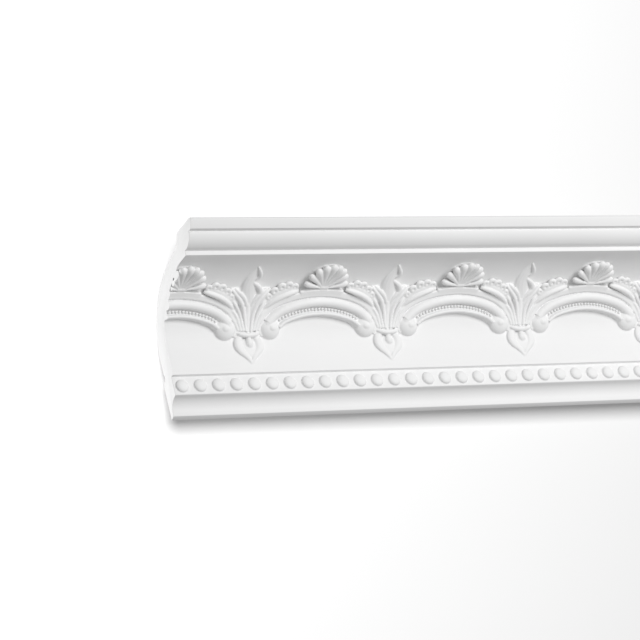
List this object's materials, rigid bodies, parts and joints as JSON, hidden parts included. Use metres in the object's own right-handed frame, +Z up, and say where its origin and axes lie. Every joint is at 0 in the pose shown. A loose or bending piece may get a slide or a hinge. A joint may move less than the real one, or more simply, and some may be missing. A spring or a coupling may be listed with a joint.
{
  "type": "cornice moulding length",
  "caption": "Hollow-backed cove cornice with a bead row, arches, scallop shells and leaves, fixed between wall and ceiling.",
  "frame": {"origin": "middle of the face that is fixed to the wall, half way along the length", "axes": "+X along the length, +Y into the wall, so that the moulded front faces -Y, +Z up to the ceiling"},
  "size_m": [1, 0.141, 0.163],
  "materials": {
    "white_primed_casting": "matte white primer on cast rigid foam"
  },
  "bodies": {
    "root": {"cornice": "white_primed_casting"}
  },
  "joints": []
}
